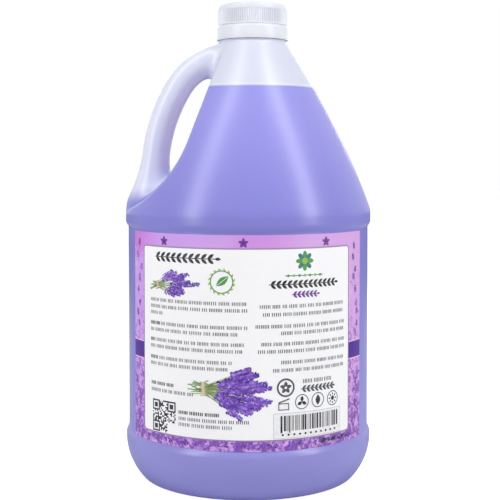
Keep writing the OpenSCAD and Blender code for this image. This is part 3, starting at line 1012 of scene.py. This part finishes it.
def printPictures(paper):
    leafRow(paper, -61.5, -19.0, 143.2, 4.8, inks["bold"])
    for i in range(19):                           # small bunch
        turn = -17 + 46 * i / 18 + random.uniform(-3, 3)
        reach = 35 - abs(turn - 2) * 0.55
        sprig(paper, -62.0 + random.uniform(0, 2), 126.6 + random.uniform(-1.2, 1.2),
              reach * random.uniform(0.55, 1), turn, 7, 2, 0.9, 8.5)
    for i in range(12):
        paper.bar(-61 + random.uniform(-2, 4), 126.4 + random.uniform(-2.2, 2.2), 8, 0.5,
                  random.uniform(-18, 30), random.choice((inks["stem"], inks["stemPale"])), 4)
    paper.bar(-59.6, 126.8, 1.6, 4.2, 8, inks["tie"], 6)
    paper.ring(-15.4, 130.0, 13.4, 13.0, 0.7, inks["green"])
    for i in range(16):
        a = math.tau * i / 16
        paper.leaf(-15.4 + 6.7 * math.cos(a), 130.0 + 6.5 * math.sin(a), 2.4, 1.0,
                   math.degrees(a) + 60, inks["greenPale"], 2)
    paper.leaf(-18.6, 127.6, 9.4, 4.4, 38, inks["green"], 2)
    paper.bar(-15.0, 130.4, 8.0, 0.3, 38, inks["white"], 3)
    for i in range(8):                            # round daisy over a dotted line
        a = math.tau * i / 8
        paper.blob(35.2 + 3.6 * math.cos(a), 141.8 + 3.6 * math.sin(a), 4.6, 2.7, 45 * i,
                   inks["teal" if i % 2 else "green"], 1, 12)
    paper.blob(35.2, 141.8, 3.8, 3.8, 0, inks["greenPale"], 3, 16)
    paper.bar(35.2, 133.4, 25.0, 0.5, 0, inks["teal"], 1)
    for i in range(7):
        paper.blob(24.4 + i * 3.6, 133.4, 1.7, 1.7, 0,
                   inks["greenPale" if i % 2 else "green"], 2, 10)
    for i in range(40):                           # large bundle, the far stems first
        turn = -32 + 56 * ((i * 17) % 40) / 39 + random.uniform(-2, 2)
        reach = 41 - max(0, -14 - turn) * 0.65 - max(0, turn - 8) * 0.45
        sprig(paper, -26.5 + random.uniform(-1, 2), 67.2 + turn * 0.05 + random.uniform(-1.6, 1.6),
              reach * (1 - 0.5 * (i / 39) ** 1.3 + random.uniform(-0.04, 0.02)), turn, 8,
              3 + i // 14, 1.15, 10.5)
    for i in range(26):
        turn = random.uniform(-24, 24)
        paper.bar(-26.5 + random.uniform(-5, 7), 67.4 + random.uniform(-3.2, 3.2), 11, 0.6, turn,
                  random.choice((inks["stem"], inks["stemPale"], inks["green"])), 2)
    paper.bar(-26.4, 67.4, 2.2, 8.2, 4, inks["tie"], 8)
    paper.bar(-25.8, 67.4, 0.25, 8.0, 4, inks["grey"], 9)


def printSmallMarks(paper):
    # a mat of random squares with three framed corners, and random bars: neither can be read
    size = 19.0 / 21
    for row in range(21):
        for column in range(21):
            corner = (row < 7 or row > 13) and (column < 7 or column > 13) \
                and not (row > 13 and column > 13)
            if not corner and random.random() < 0.48:
                paper.bar(-64.2 + (column + 0.5) * size, 38.6 + (row + 0.5) * size, size, size, 0,
                          inks["bold"])
    for u, z in ((-61.03, 41.77), (-61.03, 54.43), (-48.37, 54.43)):
        paper.bar(u, z, 7 * size, 7 * size, 0, inks["bold"], 2)
        paper.bar(u, z, 5 * size, 5 * size, 0, inks["white"], 3)
        paper.bar(u, z, 3 * size, 3 * size, 0, inks["bold"], 4)
    paper.bar(39.2, 46.0, 46.6, 14.8, 0, inks["grey"], 1)
    paper.bar(39.2, 46.0, 46.2, 14.4, 0, inks["white"], 2)
    u = 19.6
    while u < 59.4:
        width = random.choice((0.4, 0.4, 0.8, 1.2))
        long = random.random() < 0.12
        paper.bar(u + width / 2, 47.4 - (0.5 if long else 0), width, 9.0 + (1.0 if long else 0), 0,
                  inks["bold"], 3)
        u += width + random.choice((0.4, 0.5, 0.9))
    for i in range(11):
        paper.blob(21 + i * 3.7, 40.7, 1.5, 1.5, 0, inks["bold"], 3, 6)
    paper.blob(22.9, 68.3, 11.0, 11.0, 0, inks["text"], 1, 24)
    paper.blob(22.9, 68.3, 8.8, 8.8, 0, inks["paper"], 2, 24)
    blossom(paper, 22.9, 68.3, 7.6, inks["text"], inks["paper"], 3)
    paper.bar(21.6, 57.2, 6.6, 4.2, 0, inks["text"], 1)
    paper.bar(21.6, 57.2, 5.4, 3.0, 0, inks["paper"], 2)
    paper.bar(21.8, 60.6, 7.0, 0.8, 18, inks["text"], 1)
    for u, z in ((33.4, 59.4), (44.6, 59.5), (56.2, 59.2)):
        paper.ring(u, z, 8.4, 8.4, 0.5, inks["bold"])
    for turn in (90, 210, 330):
        paper.leaf(33.4, 59.4, 3.4, 2.2, turn, inks["bold"], 2)
    paper.leaf(44.6, 56.5, 6.2, 3.4, 90, inks["bold"], 2)
    paper.blob(56.2, 59.2, 2.6, 2.6, 0, inks["bold"], 2, 12)
    for i in range(8):
        a = math.tau * i / 8
        paper.leaf(56.2 + 1.7 * math.cos(a), 59.2 + 1.7 * math.sin(a), 1.7, 0.9, 45 * i,
                   inks["bold"], 2)
    for i in range(3):
        paper.leaf(46.5 + i * 7.8, 33.9, 5.2, 2.6, 24, inks["bold"], 2)
        paper.blob(53.4 + i * 7.8, 34.6, 1.6, 1.6, 0, inks["bold"], 2)
    for u in (-54.0, -2.6, 50.6):
        blossom(paper, u, 152.6, 6.2, inks["purple"], inks["violets"][0])


def printText(paper):
    for u0, u1, z, bold, ragged in ((-66, -0.6, 117.4, 0, 0), (-66, -0.6, 113.5, 0, 0),
                                    (-66, -56, 109.7, 0, 0), (-66, -0.6, 103.5, 1, 0),
                                    (-66, -6, 99.6, 0, 0.05), (-66, -0.6, 93.6, 1, 0),
                                    (-66, -2.4, 89.7, 0, 0.03), (-66, -9, 83.0, 1, 0),
                                    (-66, -11, 79.2, 0, 0.05), (-65.4, -47, 67.4, 9, 0),
                                    (-65.4, -33, 63.4, 0, 0), (-43, -17, 52.3, 9, 0),
                                    (-43, 1, 48.6, 0, 0), (-43, -9, 45.2, 0, 0)):
        tickRow(paper, u0, u1, z, 3.1, inks["text"], bold, ragged)
    for u0, u1, z in ((7, 66, 115.7), (9, 66, 111.1), (4.5, 66, 104.2), (20, 66, 100.1),
                      (8, 66, 93.9), (6, 66, 89.6), (20, 66, 83.1), (15, 66, 78.5)):
        tickRow(paper, u0, u1, z, 3.2, inks["text"])
    leafRow(paper, 13.0, 58.0, 128.4, 4.0, inks["bold"])
    leafRow(paper, 27.0, 44.0, 122.4, 3.2, inks["purple"])
    tickRow(paper, 34.0, 57.0, 71.4, 3.6, inks["bold"])
    leafRow(paper, 33.0, 56.0, 66.9, 3.4, inks["text"])


def printBorder(paper):
    # loose sprigs up both side borders and along the foot
    for side in (-1, 1):
        for i in range(17):
            z = 148 - i * 6.9 + random.uniform(-1, 1)
            if wrap["stripe"][0] - 4 < z < wrap["stripe"][1] + 2:
                continue
            sprig(paper, side * 80 + random.uniform(-1.5, 1.5), z - 3.4, random.uniform(6.0, 8.4),
                  90 + random.uniform(-24, 24), 4, 1, 0.8)
    for i in range(30):
        sprig(paper, -80 + i * 5.5 + random.uniform(-1.5, 1.5), 32.2, random.uniform(3.6, 5.2),
              90 + random.uniform(-40, 40), 3, 1, 0.72)


def buildPrint():
    paper = Print()
    printText(paper)
    printPictures(paper)
    printSmallMarks(paper)
    printBorder(paper)
    bm = paper.bm
    for face in bm.faces:
        face.normal_update()
        if face.normal.y > 0:
            face.normal_flip()
    for cut in range(-84, 85, 3):                 # long marks follow the curve
        wide = []
        for face in bm.faces:
            reach = [v.co.x / mm for v in face.verts]
            if min(reach) < cut < max(reach) and max(reach) - min(reach) > 2.4:
                wide.append(face)
        near = set(wide) | {e for f in wide for e in f.edges} | {v for f in wide for v in f.verts}
        if near:
            bmesh.ops.bisect_plane(bm, geom=list(near), plane_co=(cut * mm, 0, 0),
                                   plane_no=(1, 0, 0))
    bendRound(bm, wrap["bareR"] + wrap["thick"] + 0.03)
    return bm


def inkMaterial():
    ink = Shader("printInk")
    tone = ink.node("ShaderNodeAttribute", {"attribute_name": "ink"})
    worn = ink.noise(400, 3, 0.6).between(0.35, 0.8)
    ink.set(Base_Color=ink.mix(worn * 0.18, tone, linear(150, 146, 160)),
            Roughness=0.34 + worn * 0.08, IOR=1.45)
    return ink.material


random.seed(21)
marks = makeObject("labelPrint", buildPrint(), inkMaterial())
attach(marks, "bottle")
print("label done", len(marks.data.polygons))


stage = {
    "floorSize": 12.0,
    "cameraAt": (0.00120, -0.72525, 0.20097),
    "pitch": 2.075,
    "lens": 81.415,
    "shift": -0.10,
    "fill": 0.23,
    "glow": 0.76,
    "lamps": (                                  # name, low end, high end, width, power
        ("leftSoftbox", (-0.690, -0.430, 0.690), (-0.190, -0.295, 1.110), 0.16, 2.35),
        ("rightSoftbox", (0.760, -0.350, 0.650), (0.280, -0.272, 1.090), 0.16, 2.8),
        ("leftLow", (-0.757, -0.668, 0.110), (-0.655, -0.470, 0.710), 0.20, 3.0),
        ("rightLow", (0.834, -0.559, 0.110), (0.730, -0.390, 0.670), 0.20, 2.9),
        ("backSoftbox", (0.0, 1.000, 0.300), (0.0, 0.750, 1.100), 0.90, 5.0),
    ),
}


def whiteForViewer(tree, shown):
    # camera, mirror and glass rays see plain white; the light itself stays as it is
    path = tree.nodes.new("ShaderNodeLightPath")
    total = None
    for name in ("Is Camera Ray", "Is Glossy Ray", "Is Transmission Ray")[:shown]:
        if total is None:
            total = path.outputs[name]
            continue
        either = tree.nodes.new("ShaderNodeMath")
        either.operation = "MAXIMUM"
        tree.links.new(total, either.inputs[0])
        tree.links.new(path.outputs[name], either.inputs[1])
        total = either.outputs[0]
    return total


def buildStage():
    bm = bmesh.new()
    bmesh.ops.create_grid(bm, x_segments=1, y_segments=1, size=stage["floorSize"] / 2)
    shader = Shader("paleFloor")
    tree = shader.tree
    shader.set(Base_Color=(0.82, 0.82, 0.82), Roughness=0.7, Specular_IOR_Level=0.2)
    glow = tree.nodes.new("ShaderNodeEmission")
    glow.inputs["Strength"].default_value = stage["glow"]
    both = tree.nodes.new("ShaderNodeAddShader")
    pick = tree.nodes.new("ShaderNodeMixShader")
    tree.links.new(shader.bsdf.outputs[0], both.inputs[0])
    tree.links.new(glow.outputs[0], both.inputs[1])
    tree.links.new(whiteForViewer(tree, 1), pick.inputs[0])
    tree.links.new(shader.bsdf.outputs[0], pick.inputs[1])
    tree.links.new(both.outputs[0], pick.inputs[2])
    tree.links.new(pick.outputs[0], tree.nodes["Material Output"].inputs[0])
    floor = makeObject("floor", bm, shader.material)

    world = bpy.data.worlds.new("studio")
    world.use_nodes = True
    scene.world = world
    tree = world.node_tree
    light = tree.nodes["Background"]
    light.inputs["Strength"].default_value = stage["fill"]
    light.inputs["Color"].default_value = (1, 1, 1, 1)
    seen = tree.nodes.new("ShaderNodeBackground")
    seen.inputs["Color"].default_value = (1, 1, 1, 1)
    pick = tree.nodes.new("ShaderNodeMixShader")
    tree.links.new(whiteForViewer(tree, 3), pick.inputs[0])
    tree.links.new(light.outputs[0], pick.inputs[1])
    tree.links.new(seen.outputs[0], pick.inputs[2])
    tree.links.new(pick.outputs[0], tree.nodes["World Output"].inputs[0])

    for name, low, high, width, power in stage["lamps"]:
        low, high = Vector(low), Vector(high)
        data = bpy.data.lights.new(name, "AREA")
        data.shape = "RECTANGLE"
        data.size, data.size_y = width, (high - low).length
        data.energy = power
        lamp = bpy.data.objects.new(name, data)
        along = (high - low).normalized()
        away = (low + high) / 2 - Vector((0, 0, 0.20))
        across = along.cross(away).normalized()
        turn = Matrix((across, along, across.cross(along))).transposed()
        lamp.matrix_world = Matrix.Translation((low + high) / 2) @ turn.to_4x4()
        lamp.visible_camera = False
        scene.collection.objects.link(lamp)

    data = bpy.data.cameras.new("camera")
    data.lens = stage["lens"]
    data.sensor_width = 36
    data.shift_y = stage["shift"]
    camera = bpy.data.objects.new("camera", data)
    camera.location = stage["cameraAt"]
    camera.rotation_euler = (math.radians(90 - stage["pitch"]), 0, 0)
    scene.collection.objects.link(camera)
    scene.camera = camera
    scene.view_settings.view_transform = "Standard"


buildStage()
print("stage done")
